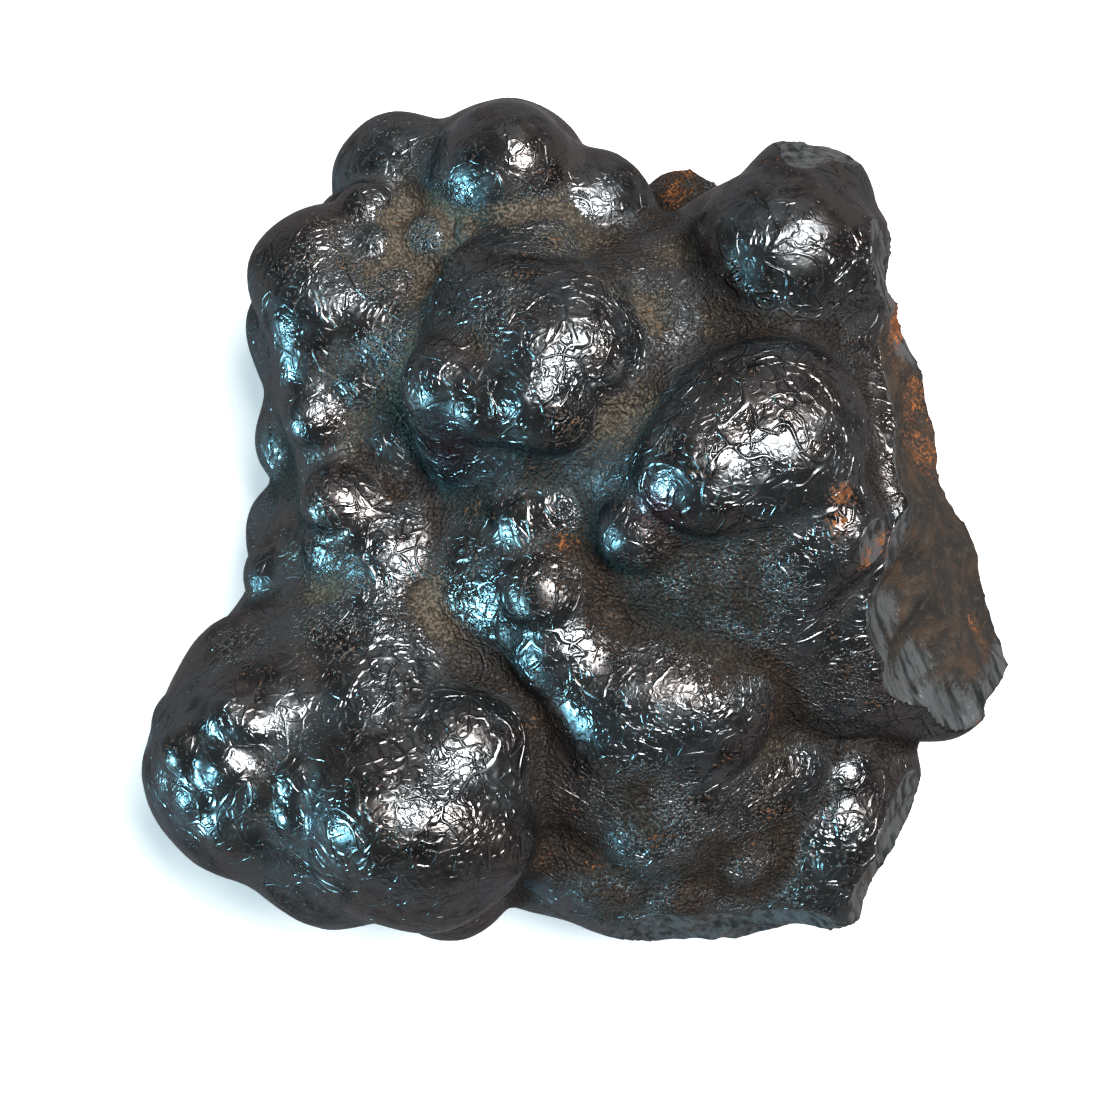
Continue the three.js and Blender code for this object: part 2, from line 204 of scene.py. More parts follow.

# Where dust, painted shade, rust, red tint, bared rind and smooth crust are strongest.
PATCHES: dict[Mark, tuple[Patch, ...]] = {
    Mark.PALE_DUST: (
        Patch((-10, 17, 19), 4.0, 0.95), Patch((-15, 16, 18), 2.5, 0.7), Patch((-2, 17, 21), 3.0, 0.9),
        Patch((3, 13, 25), 3.0, 0.8), Patch((1, 6, 27), 3.0, 0.6), Patch((-14, 7, 19), 2.5, 0.6),
        Patch((-15, -4, 19), 3.5, 0.7), Patch((-8, -5, 20), 3.0, 0.7), Patch((-20, -7, 18), 2.5, 0.45),
        Patch((-11, 24, 15), 2.5, 0.3), Patch((4, 5, 30), 1.0, 0.7), Patch((-5, 13, 27), 3.0, 0.6),
        Patch((-15, 2, 20), 1.5, 0.5), Patch((10, -15, 20), 2.5, 0.6), Patch((-1, -10, 24), 2.0, 0.3),
        Patch((-6, -2, 22), 1.5, 0.5), Patch((5, 16, 22), 2.5, 0.6), Patch((-11, 10, 20), 2.5, 0.7),
    ),
    # Dark dust, and in part painted shade on slopes that face away from the light, such as the foot.
    Mark.DARK_DUST_AND_SHADE: (
        Patch((7, -21, 17), 5.5, 0.8), Patch((2, -22, 18), 4.5, 0.8), Patch((10, -19, 18), 3.0, 0.6),
        Patch((4, -4, 25), 3.5, 0.7), Patch((-20, -7, 18), 2.5, 0.4), Patch((-1, -2, 24), 2.5, 0.5),
        Patch((12, -10, 21), 3.5, 0.5), Patch((6, -6, 24), 3.0, 0.4), Patch((16, -9, 22), 3.0, 0.5),
        Patch((6, 21, 11), 2.5, 1), Patch((6, -4, 26), 2.5, 1), Patch((9, -4, 26), 3.0, 1),
        Patch((8, -7, 24), 3.0, 1), Patch((-11, -5, 21), 2.0, 0.7), Patch((3, -16, 22), 3.0, 1),
        Patch((0, -19, 18), 3.0, 1), Patch((7, -19, 19), 2.5, 0.9),
    ),
    Mark.RUST: (
        Patch((19, 13, 9), 2.0, 1), Patch((20, 9, 8), 2.5, 0.5), Patch((21, 4, 9), 2.5, 0.45),
        Patch((16, -2, 27), 1.0, 0.8), Patch((17, -1, 26), 1.0, 0.6), Patch((14, 2, 29), 1.0, 0.7),
        Patch((-1, -1, 24), 1.0, 0.5), Patch((-1, -1, 24), 0.5, 0.5), Patch((14, 0, 29), 1.0, 0.5),
        Patch((24, -6, 11), 1.5, 0.3), Patch((1, -19, 19), 2.5, 0.2), Patch((6, 21, 10), 2.0, 0.5),
    ),
    Mark.RED: (
        Patch((4, 1, 29), 1.5, 0.85), Patch((-8, 4, 24), 1.5, 0.75), Patch((-7, 5, 25), 1.5, 0.6),
        Patch((-17, 11, 19), 1.0, 0.3), Patch((2, -4, 24), 1.0, 0.3),
    ),
    Mark.SMOOTH: (
        Patch((-8, 6, 27), 3.0, 1), Patch((-5, 0, 23), 2.5, 1), Patch((2, -1, 28), 2.0, 1),
        Patch((4, 2, 30), 2.0, 1), Patch((-4, -4, 25), 2.0, 1), Patch((-3, -7, 24), 2.0, 1),
        Patch((0, -11, 24), 3.0, 1), Patch((5, -9, 25), 3.0, 0.9),
    ),
    Mark.RIND: (
        Patch((21, -11, 18), 3.0, 0.85), Patch((19, -8, 19), 2.0, 0.8), Patch((17, -5, 22), 2.0, 0.8),
        Patch((15, -4, 25), 1.5, 0.7), Patch((17, 7, 22), 2.0, 0.6), Patch((16, 3, 25), 1.5, 0.6),
        Patch((16, 14, 25), 1.5, 0.9),
    ),
}


def blend(a: np.ndarray, b: np.ndarray, width: float) -> np.ndarray:
    """Joins two distances with a rounded crease.

    Args:
        a: One distance at each point.
        b: The other distance at each point.
        width: Width of the crease.

    Returns:
        The joined distance at each point.
    """
    overlap = np.maximum(width - np.abs(a - b), 0.0) / width
    return np.minimum(a, b) - overlap * overlap * width / 4.0


@dataclass
class StoneForm:
    """The stone as a distance in millimetres, below zero inside it.

    Attributes:
        middle: The middle of the stone's back, in the frame of the tables above.
        mass_blend: Width of the crease between two masses.
        blend_share: Width of the crease round a lump, as a share of its radius.
        swell_height: Height of the slow swell that keeps the lumps from looking turned on a lathe.
        swell_length: Length of one wave of the swell.
        swell_waves: The way each wave runs, and where it starts.
        shell_depth: Depth of the shallow shells on a break.
        shell_rows: How fast each row of shells repeats across and along the break.
        shell_wander: How far the rows wander.
        wander_turn: How fast they wander.
        wander_starts: Where the wandering starts, across and along.
        slope_step: Step by which the slope is measured.
        least_slope: Least square of the slope that a point is moved by.
    """

    middle: Point = (0.45, -0.15, 0.0)
    mass_blend: float = 3.0
    blend_share: float = 0.26
    swell_height: float = 0.25
    swell_length: float = 6.5
    swell_waves: tuple[tuple[Point, float], ...] = (
        ((0.9, 0.45, 0.0), 0.0),
        ((0.0, 0.8, -0.5), 2.0),
        ((-0.6, 0.0, 0.7), 4.0),
    )
    shell_depth: float = 0.55
    shell_rows: tuple[tuple[float, float], ...] = ((0.42, 0.15), (-0.22, 0.5))
    shell_wander: float = 1.3
    wander_turn: float = 0.4
    wander_starts: tuple[float, float] = (1.0, 2.0)
    slope_step: float = 0.02
    least_slope: float = 0.25

    def crust(self, points: np.ndarray) -> np.ndarray:
        """Measures the distance to the lumps alone, before anything is broken off.

        Args:
            points: Points from the middle of the stone's back, in millimetres.

        Returns:
            The distance at each point.
        """
        place = points + self.middle
        nearest = self.mass(place, MASSES[0])
        for row in MASSES[1:]:
            nearest = blend(nearest, self.mass(place, row), self.mass_blend)
        for balls in LUMPS.values():
            for *centre, radius in balls:
                away = np.linalg.norm(place - centre, axis=1) - radius
                nearest = blend(nearest, away, self.blend_share * radius)
        return nearest - self.swell(place)

    def mass(self, place: np.ndarray, row: tuple[float, ...]) -> np.ndarray:
        """Measures the distance to one of the inner masses.

        Args:
            place: Points in the frame of the tables.
            row: The mass's middle and its three radii.

        Returns:
            The distance at each point, nearly true close to the mass.
        """
        scaled = (place - row[:3]) / row[3:]
        length = np.linalg.norm(scaled, axis=1)
        slope = np.linalg.norm(scaled / row[3:], axis=1)
        return length * (length - 1.0) / np.maximum(slope, TINY)

    def swell(self, place: np.ndarray) -> np.ndarray:
        """Gives the height of the slow swell.

        Args:
            place: Points in the frame of the tables.

        Returns:
            The height at each point.
        """
        turn = 2.0 * math.pi / self.swell_length
        waves = [np.sin(turn * (place @ np.array(along)) + start) for along, start in self.swell_waves]
        return self.swell_height * sum(waves) / len(waves)

    def shells(self, x: np.ndarray, y: np.ndarray) -> np.ndarray:
        """Gives the unevenness of a break: shallow shells with sharp ridges between them.

        Args:
            x: Distance across the break.
            y: Distance along the break.

        Returns:
            The height of the break's face at each point.
        """
        across = x + self.shell_wander * np.sin(self.wander_turn * y + self.wander_starts[0])
        along = y + self.shell_wander * np.sin(self.wander_turn * x + self.wander_starts[1])
        hollows = [np.abs(np.sin(a * across + b * along)) for a, b in self.shell_rows]
        return self.shell_depth * (1.0 - sum(hollows))

    def taken_off(self, points: np.ndarray, one: Break) -> np.ndarray:
        """Measures how deep each point lies in the block that a break takes off.

        Args:
            points: Points from the middle of the stone's back, in millimetres.
            one: The break.

        Returns:
            The depth in the block, above zero inside it.
        """
        turn = Vector((0.0, 0.0, 1.0)).rotation_difference(Vector(one.facing)).to_matrix()
        local = (points + self.middle - one.at) @ np.array(turn)
        x, y, z = local.T
        face = z - (x * x + y * y) / (2.0 * one.hollow) - self.shells(x, y)
        side = one.width / 2.0 - np.maximum(np.abs(x), np.abs(y))
        return np.minimum(np.minimum(face, side), one.depth - z)

    def cuts(self, points: np.ndarray) -> np.ndarray:
        """Measures the distance to what the breaks and the flat back leave.

        Args:
            points: Points from the middle of the stone's back, in millimetres.

        Returns:
            The distance at each point, above zero where something is taken off.
        """
        return np.max([self.taken_off(points, one) for one in BREAKS] + [-points[:, 2]], axis=0)

    def distance(self, points: np.ndarray) -> np.ndarray:
        """Measures the distance to the whole stone."""
        return np.maximum(self.crust(points), self.cuts(points))

    def settle(self, points: np.ndarray, rounds: int, farthest: float) -> np.ndarray:
        """Moves points onto the stone's surface, down its slope.

        Args:
            points: Points near the surface, in millimetres.
            rounds: How many times each point is moved.
            farthest: A point that would move farther than this is left where it was.

        Returns:
            The moved points.
        """
        moved = points.copy()
        steps = np.eye(3) * self.slope_step
        for _ in range(rounds):
            sides = [self.distance(moved + step) - self.distance(moved - step) for step in steps]
            slope = np.stack(sides, axis=1) / (2.0 * self.slope_step)
            steepness = np.maximum((slope * slope).sum(axis=1), self.least_slope)
            moved -= slope * (self.distance(moved) / steepness)[:, None]
        near = np.linalg.norm(moved - points, axis=1) < farthest
        return np.where(near[:, None], moved, points)


@dataclass(frozen=True)
class Blots:
    """A noise that a soft threshold turns into blots.

    Attributes:
        size: How big the blots are, in millimetres.
        low: The noise at which a blot begins.
        high: The noise at which it is full.
        detail: How many finer layers the noise has.
    """

    size: float
    low: float
    high: float
    detail: float = 2.0


@dataclass
class NodeSheet:
    """A node tree that nodes are added to, with their inputs set or linked in the same call."""

    tree: bpy.types.NodeTree

    def add(self, kind: str, inputs: dict[str | int, object] | None = None, **settings: object) -> Node:
        """Adds a node.

        Args:
            kind: Blender's name for the node's type.
            inputs: What each input holds: a value, or the output socket that feeds it.
            **settings: The node's own properties, set before its inputs.

        Returns:
            The new node.
        """
        node = self.tree.nodes.new(kind)
        for name, value in settings.items():
            setattr(node, name, value)
        for key, value in (inputs or {}).items():
            if isinstance(value, Socket):
                self.tree.links.new(value, node.inputs[key])
            else:
                node.inputs[key].default_value = value
        return node

    def math(self, operation: str, *values: Value, clamp: bool = False) -> Socket:
        """Adds a Math node.

        Args:
            operation: The node's operation.
            *values: Its inputs in order.
            clamp: Whether the result stays between 0 and 1.

        Returns:
            The node's output.
        """
        node = self.add("ShaderNodeMath", dict(enumerate(values)), operation=operation, use_clamp=clamp)
        return node.outputs[0]

    def join(self, operation: str, first: Value, *others: Value) -> Socket:
        """Joins several values by one operation.

        Args:
            operation: The operation of each Math node, such as ADD or MAXIMUM.
            first: The first value.
            *others: The values that are joined to it in turn.

        Returns:
            What comes out at the end.
        """
        for other in others:
            first = self.math(operation, first, other)
        return first

    def vector(self, operation: str, inputs: dict[str | int, object]) -> Socket:
        """Adds a Vector Math node.

        Args:
            operation: The node's operation.
            inputs: What each input holds.

        Returns:
            The vector that comes out.
        """
        return self.add("ShaderNodeVectorMath", inputs, operation=operation).outputs["Vector"]

    def ramp(self, value: Socket, low: Value, high: Value, to_low: float = 0.0,
             to_high: float = 1.0) -> Socket:
        """Maps a value smoothly from one range to another.

        Args:
            value: What is mapped.
            low: Where the range starts.
            high: Where it ends.
            to_low: What the start becomes.
            to_high: What the end becomes.

        Returns:
            The mapped value.
        """
        ends = {"Value": value, "From Min": low, "From Max": high, "To Min": to_low, "To Max": to_high}
        return self.add("ShaderNodeMapRange", ends, interpolation_type="SMOOTHSTEP").outputs["Result"]

    def noise(self, vector: Socket, size: float, detail: float = 2.0) -> Socket:
        """Adds a noise.

        Args:
            vector: Where it is read, in metres.
            size: The size of its blots in millimetres.
            detail: How many finer layers it has.

        Returns:
            The noise, about 0 to 1.
        """
        inputs = {"Vector": vector, "Scale": 1.0 / (size * MM), "Detail": detail}
        return self.add("ShaderNodeTexNoise", inputs).outputs["Fac"]

    def blots(self, vector: Socket, blots: Blots, to_low: float = 0.0, to_high: float = 1.0) -> Socket:
        """Adds soft blots.

        Args:
            vector: Where they are read, in metres.
            blots: What they are like.
            to_low: The value between the blots.
            to_high: The value on them.

        Returns:
            The value at each point.
        """
        noise = self.noise(vector, blots.size, blots.detail)
        return self.ramp(noise, blots.low, blots.high, to_low, to_high)

    def mix(self, share: Value, a: object, b: object) -> Socket:
        """Mixes two colours.

        Args:
            share: How much of the second shows.
            a: The first colour.
            b: The second colour.

        Returns:
            The mixed colour.
        """
        return self.add("ShaderNodeMix", {0: share, 6: a, 7: b}, data_type="RGBA").outputs[2]

    def attribute(self, mark: Mark) -> Socket:
        """Reads one of the marks that the skin's points carry."""
        return self.add("ShaderNodeAttribute", attribute_name=mark.value).outputs["Fac"]


def node_group(name: str, kind: str, inputs: Iterable[tuple[str, str, object]],
               output: tuple[str, str]) -> tuple[NodeSheet, Node, Node]:
    """Makes an empty node group with named inputs and one named output.

    Args:
        name: The group's name.
        kind: The type of its tree.
        inputs: Each input's name, socket type and default, or None for no default.
        output: The output's name and socket type.

    Returns:
        The group's sheet, its input node and its output node.
    """
    tree = bpy.data.node_groups.new(name, kind)
    for label, socket, value in inputs:
        made = tree.interface.new_socket(name=label, in_out="INPUT", socket_type=socket)
        if value is not None:
            made.default_value = value
    tree.interface.new_socket(name=output[0], in_out="OUTPUT", socket_type=output[1])
    return NodeSheet(tree), tree.nodes.new("NodeGroupInput"), tree.nodes.new("NodeGroupOutput")


@dataclass(frozen=True)
class WormLines:
    """Raised thin lines that wander like worms, a node group: they follow where a noise is even.

    Attributes:
        name: The group's name.
        level: The noise that a line follows.
        detail: How many finer layers the noise has.
        folding: How much the noise is folded over itself.
    """

    name: str = "worm_lines"
    level: float = 0.5
    detail: float = 1.0
    folding: float = 0.6

    def build(self) -> bpy.types.NodeTree:
        """Builds the group.

        Returns:
            The group, with Vector, Scale, Offset and Width in and Height out.
        """
        inputs = [("Vector", "NodeSocketVector", None), ("Scale", "NodeSocketFloat", 1000.0),
                  ("Offset", "NodeSocketFloat", 0.0), ("Width", "NodeSocketFloat", 0.04)]
        sheet, start, end = node_group(self.name, "ShaderNodeTree", inputs, ("Height", "NodeSocketFloat"))
        moved = sheet.vector("ADD", {0: start.outputs["Vector"], 1: start.outputs["Offset"]})
        look = {"Vector": moved, "Scale": start.outputs["Scale"], "Detail": self.detail,
                "Distortion": self.folding}
        noise = sheet.add("ShaderNodeTexNoise", look).outputs["Fac"]
        away = sheet.math("ABSOLUTE", sheet.math("SUBTRACT", noise, self.level))
        line = sheet.ramp(away, 0.0, start.outputs["Width"], 1.0, 0.0)
        sheet.tree.links.new(line, end.inputs["Height"])
        return sheet.tree


@dataclass(frozen=True)
class CellRidges:
    """Raised edges between crooked cells, a node group, as on a skin that shrank.

    Attributes:
        name: The group's name.
        detail: How many finer layers the crookedness has.
    """

    name: str = "cell_ridges"
    detail: float = 2.0

    def build(self) -> bpy.types.NodeTree:
        """Builds the group.

        Returns:
            The group, with Vector, Scale, Crook and Width in and Height out.
        """
        inputs = [("Vector", "NodeSocketVector", None), ("Scale", "NodeSocketFloat", 600.0),
                  ("Crook", "NodeSocketFloat", 0.0006), ("Width", "NodeSocketFloat", 0.09)]
        sheet, start, end = node_group(self.name, "ShaderNodeTree", inputs, ("Height", "NodeSocketFloat"))
        place = start.outputs["Vector"]
        scale = start.outputs["Scale"]
        look = {"Vector": place, "Scale": scale, "Detail": self.detail}
        wobble = sheet.add("ShaderNodeTexNoise", look).outputs["Color"]
        centred = sheet.vector("SUBTRACT", {0: wobble, 1: (0.5, 0.5, 0.5)})
        shift = sheet.vector("SCALE", {0: centred, "Scale": start.outputs["Crook"]})
        moved = sheet.vector("ADD", {0: place, 1: shift})
        cells = sheet.add("ShaderNodeTexVoronoi", {"Vector": moved, "Scale": scale},
                          feature="DISTANCE_TO_EDGE")
        line = sheet.ramp(cells.outputs["Distance"], 0.0, start.outputs["Width"], 1.0, 0.0)
        sheet.tree.links.new(line, end.inputs["Height"])
        return sheet.tree


class Spread(Enum):
    """Where a layer of wrinkles lies."""

    ALL_OVER = "all over"
    SOME = "in large blots"
    FINE = "between the dull blots, and weaker under dust"


@dataclass(frozen=True)
class Worms:
    """One layer of worm lines.

    Attributes:
        size: How far apart the lines run, in millimetres.
        offset: Where the noise is read, in metres, so that no two layers are alike.
        width: Half the lines' width, on the scale of the noise.
        height: How high they stand.
        spread: Where they lie.
    """

    size: float
    offset: float
    width: float
    height: float
    spread: Spread = Spread.ALL_OVER


@dataclass(frozen=True)
class HematiteFinish:
    """The stone's finish: wrinkled metallic crust, crumbs of dust, painted shade in the creases and near the
    floor, breaks with a steely rind, and rust.

    Sizes and places are in millimetres, and so is wrinkle_height. Every other height is a share of it.
    """

    # Colours.
    crust: Colour = (0.128, 0.138, 0.146, 1.0)
    crust_warm: Colour = (0.130, 0.120, 0.117, 1.0)
    crust_dull: Colour = (0.052, 0.054, 0.056, 1.0)
    edge_tint: Colour = (0.60, 0.62, 0.65, 1.0)
    steel: Colour = (0.082, 0.088, 0.092, 1.0)
    steel_dark: Colour = (0.018, 0.020, 0.021, 1.0)
    core: Colour = (0.024, 0.022, 0.020, 1.0)
    core_brown: Colour = (0.050, 0.033, 0.023, 1.0)
    core_grain: Colour = (0.052, 0.046, 0.038, 1.0)
    pale_dust: Colour = (0.138, 0.119, 0.090, 1.0)
    dark_dust_and_shade: Colour = (0.014, 0.0105, 0.0088, 1.0)
    # Near-black of dark dust, used also as painted shade in the creases and on the sides near the floor.
    rust: Colour = (0.28, 0.098, 0.028, 1.0)
    rust_dark: Colour = (0.10, 0.035, 0.012, 1.0)
    red: Colour = (0.10, 0.014, 0.016, 1.0)

    # Where the colours lie.
    warm_blots: Blots = Blots(5.0, 0.42, 0.60)
    brown_blots: Blots = Blots(1.8, 0.42, 0.66, 5.0)
    core_grains: Blots = Blots(0.5, 0.52, 0.68, 4.0)
    steel_streaks: Blots = Blots(0.5, 0.36, 0.60, 4.0)
    dust_specks: Blots = Blots(0.17, 0.44, 0.62)
    rust_blots: Blots = Blots(0.7, 0.40, 0.62, 3.0)
    dull_range: Range = (0.50, 0.72)
    # How far the creases and hollows are darkened: painted shade, with some dark dust.
    valley_dust_and_shade: float = 0.75
    red_share: float = 0.85
    core_grain_share: float = 0.7
    dim_specks: float = 0.15
    pale_specks: float = 0.6
    pale_least: float = 0.25

    # Where each layer ends, and how crumbly its edge is.
    grain_size: float = 0.2
    blot_size: float = 2.4
    blot_detail: float = 4.0
    grain_reach: float = 1.9
    blot_reach: float = 1.4
    rind_reach: float = 0.35
    broken_range: Range = (0.35, 0.65)
    rind_range: Range = (0.30, 0.65)
    cover_range: Range = (0.35, 0.85)

    # How the surface shines.
    shine: float = 0.16
    gloss: float = 0.18
    worn: float = 0.36
    dusty: float = 0.55
    rusty: float = 0.85
    broken_rough: float = 0.6
    rind_polish: float = 0.22
    worn_blots: Blots = Blots(1.6, 0.35, 0.70, 3.0)
    metal: float = 0.95
    dust_cover: float = 0.9
    valley_cover: float = 0.45
    broken_cover: float = 0.95
    rind_bare: float = 0.2

    # Wrinkles of the crust.
    wrinkle_height: float = 0.08
    ridge_size: float = 1.7
    ridge_crook: float = 1.2
    ridge_width: float = 0.075
    ridge_blots: Blots = Blots(2.6, 0.42, 0.54)
    worm_blots: Blots = Blots(1.7, 0.40, 0.50)
    fine_range: Range = (0.40, 0.56)
    fine_least: float = 0.15
    fine_loss: float = 0.5
    worms: tuple[Worms, ...] = (
        Worms(3.2, 0.53, 0.03, 1.1),
        Worms(1.6, 0.11, 0.05, 0.9, Spread.SOME),
        Worms(0.9, 0.37, 0.07, 0.6, Spread.FINE),
        Worms(0.5, 0.71, 0.10, 0.3, Spread.FINE),
    )
    dent_size: float = 0.8
    dent_height: float = 0.12
    crumb_height: float = 1.8
    bare_crumb_height: float = 0.07
    calm_share: float = 0.45
    calm_left: Range = (-18.0, -7.0)
    calm_far: Range = (13.0, 18.0)

    # Unevenness of the breaks.
    fibre_way: Point = (-0.36, 0.84, 0.40)
    fibre_draw: float = 0.88
    fibre_size: float = 0.55
    fibre_detail: float = 3.0
    fibre_height: float = 3.0
    rough_size: float = 1.0
    rough_detail: float = 7.0
    rough_height: float = 4.0
    rough_grain: float = 1.2
    rind_smooth: float = 0.7

    def build(self, worms: bpy.types.NodeTree, cells: bpy.types.NodeTree) -> bpy.types.Material:
        """Builds the material.

        Args:
            worms: The group of worm lines.
            cells: The group of cell ridges.

        Returns:
            The material.
        """
        material = bpy.data.materials.new("hematite")
        material.use_nodes = True
        shader = material.node_tree.nodes["Principled BSDF"]
        sheet = NodeSheet(material.node_tree)
        nodes = HematiteNodes(self, sheet, sheet.add("ShaderNodeTexCoord").outputs["Object"])
        height = nodes.height(worms, cells)
        bump = sheet.add("ShaderNodeBump", {"Height": height, "Distance": self.wrinkle_height * MM,
                                            "Strength": 1.0})
        links = material.node_tree.links
        links.new(nodes.colour(), shader.inputs["Base Color"])
        links.new(nodes.roughness(), shader.inputs["Roughness"])
        links.new(nodes.metallic(), shader.inputs["Metallic"])
        links.new(bump.outputs["Normal"], shader.inputs["Normal"])
        shader.inputs["Specular IOR Level"].default_value = self.shine
        shader.inputs["Specular Tint"].default_value = self.edge_tint
        return material


@dataclass
class HematiteNodes:
    """Wires up the nodes of the stone's material.

    Attributes:
        finish: The values that the nodes are set to.
        sheet: The material's sheet.
        place: The point on the stone, in metres.
        masks: Where each layer lies, from 0 to 1, by name.
    """

    finish: HematiteFinish
    sheet: NodeSheet
    place: Socket
    masks: dict[str, Socket] = field(default_factory=dict)

    def __post_init__(self) -> None:
        """Works out where each layer lies."""
        sheet, finish = self.sheet, self.finish
        grain = sheet.noise(self.place, finish.grain_size)
        blots = sheet.noise(self.place, finish.blot_size, finish.blot_detail)
        crumbly = sheet.math("MULTIPLY", sheet.math("SUBTRACT", grain, 0.5), finish.grain_reach)
        patchy = sheet.math("MULTIPLY", sheet.math("SUBTRACT", blots, 0.5), finish.blot_reach)
        uneven = sheet.math("ADD", crumbly, patchy)
        broken = sheet.ramp(sheet.attribute(Mark.BROKEN), *finish.broken_range)
        rind = sheet.math("MULTIPLY_ADD", uneven, finish.rind_reach, sheet.attribute(Mark.RIND))
        self.masks = {
            "grain": grain,
            "blots": blots,
            "broken": broken,
            "rind": sheet.math("MULTIPLY", broken, sheet.ramp(rind, *finish.rind_range)),
            "red": sheet.attribute(Mark.RED),
            "valley": sheet.attribute(Mark.VALLEY),
        }
        for name, mark in (("pale", Mark.PALE_DUST), ("dark", Mark.DARK_DUST_AND_SHADE), ("rust", Mark.RUST)):
            amount = sheet.math("ADD", sheet.attribute(mark), uneven)
            self.masks[name] = sheet.ramp(amount, *finish.cover_range)
        self.masks["dust"] = sheet.math("MAXIMUM", self.masks["pale"], self.masks["dark"])

    def part(self, mask: str, share: float) -> Socket:
        """Gives a share of a mask."""
        return self.sheet.math("MULTIPLY", self.masks[mask], share)

    def without(self, mask: str, loss: float, whole: float = 1.0) -> Socket:
        """Gives a value that is whole outside a mask and less by a loss inside it."""
        return self.sheet.math("MULTIPLY_ADD", self.masks[mask], -loss, whole)

    def height(self, worms: bpy.types.NodeTree, cells: bpy.types.NodeTree) -> Socket:
        """Works out the height of the crust's wrinkles and of the breaks' fibres.

        Args:
            worms: The group of worm lines.
            cells: The group of cell ridges.

        Returns:
            The height, as a share of the finish's wrinkle height.
        """
        sheet = self.sheet
        crust = sheet.math("MULTIPLY", self.wrinkles(worms, cells), self.without("broken", 1.0))
        return sheet.math("ADD", crust, sheet.math("MULTIPLY", self.unevenness(), self.masks["broken"]))

    def wrinkles(self, worms: bpy.types.NodeTree, cells: bpy.types.NodeTree) -> Socket:
        """Works out the height of the crust's wrinkles, dents and crumbs.

        Args:
            worms: The group of worm lines.
            cells: The group of cell ridges.

        Returns:
            The height on the crust.
        """
        sheet, finish, place = self.sheet, self.finish, self.place
        ridge = sheet.add("ShaderNodeGroup", {
            "Vector": place, "Scale": 1.0 / (finish.ridge_size * MM), "Crook": finish.ridge_crook * MM,
            "Width": finish.ridge_width}, node_tree=cells)
        lines = sheet.math("MULTIPLY", ridge.outputs["Height"], sheet.blots(place, finish.ridge_blots))
        fine = sheet.ramp(self.masks["blots"], *finish.fine_range, 1.0, finish.fine_least)
        spreads = {
            Spread.ALL_OVER: 1.0,
            Spread.SOME: sheet.blots(place, finish.worm_blots),
            Spread.FINE: sheet.math("MULTIPLY", fine, self.without("dust", finish.fine_loss)),
        }
        for layer in finish.worms:
            worm = sheet.add("ShaderNodeGroup", {
                "Vector": place, "Scale": 1.0 / (layer.size * MM), "Offset": layer.offset,
                "Width": layer.width}, node_tree=worms)
            line = sheet.join("MULTIPLY", worm.outputs["Height"], layer.height, spreads[layer.spread])
            lines = sheet.math("MAXIMUM", lines, line)
        lines = sheet.math("MULTIPLY", lines, self.calm())
        dents = sheet.math("MULTIPLY", sheet.noise(place, finish.dent_size), finish.dent_height)
        height = sheet.math("MULTIPLY_ADD", self.masks["dust"], finish.crumb_height, finish.bare_crumb_height)
        crumbs = sheet.math("MULTIPLY", self.masks["grain"], height)
        return sheet.join("ADD", lines, dents, crumbs)

    def calm(self) -> Socket:
        """Lets the wrinkles fade on the left, at the far edge and on the smooth patches.

        Returns:
            The share of the wrinkles' height that is left.
        """
        sheet, least = self.sheet, self.finish.calm_share
        parts = sheet.add("ShaderNodeSeparateXYZ", {"Vector": self.place})
        left = sheet.ramp(parts.outputs["X"], *(end * MM for end in self.finish.calm_left), least, 1.0)
        far = sheet.ramp(parts.outputs["Y"], *(end * MM for end in self.finish.calm_far), 1.0, least)
        patches = sheet.math("MULTIPLY_ADD", sheet.attribute(Mark.SMOOTH), least - 1.0, 1.0)
        return sheet.join("MINIMUM", left, far, patches)

    def unevenness(self) -> Socket:
        """Works out the height of the breaks: rough inside, and drawn out in fibres in the rind.

        Returns:
            The height on the breaks.
        """
        sheet, finish = self.sheet, self.finish
        rough = sheet.noise(self.place, finish.rough_size, finish.rough_detail)
        rough = sheet.math("MULTIPLY", rough, finish.rough_height)
        rough = sheet.math("ADD", rough, self.part("grain", finish.rough_grain))
        rough = sheet.math("MULTIPLY", rough, self.without("rind", finish.rind_smooth))
        fibres = sheet.noise(self.drawn(), finish.fibre_size, finish.fibre_detail)
        fibres = sheet.math("MULTIPLY", fibres, self.part("rind", finish.fibre_height))
        return sheet.math("ADD", rough, fibres)

    def drawn(self) -> Socket:
        """Squeezes the place along the fibres, so that a pattern on it is drawn out.

        Returns:
            The squeezed point.
        """
        sheet = self.sheet
        way = tuple(Vector(self.finish.fibre_way).normalized())
        along = sheet.add("ShaderNodeVectorMath", {0: self.place, 1: way}, operation="DOT_PRODUCT")
        share = sheet.math("MULTIPLY", along.outputs["Value"], self.finish.fibre_draw)
        step = sheet.vector("SCALE", {0: way, "Scale": share})
        return sheet.vector("SUBTRACT", {0: self.place, 1: step})

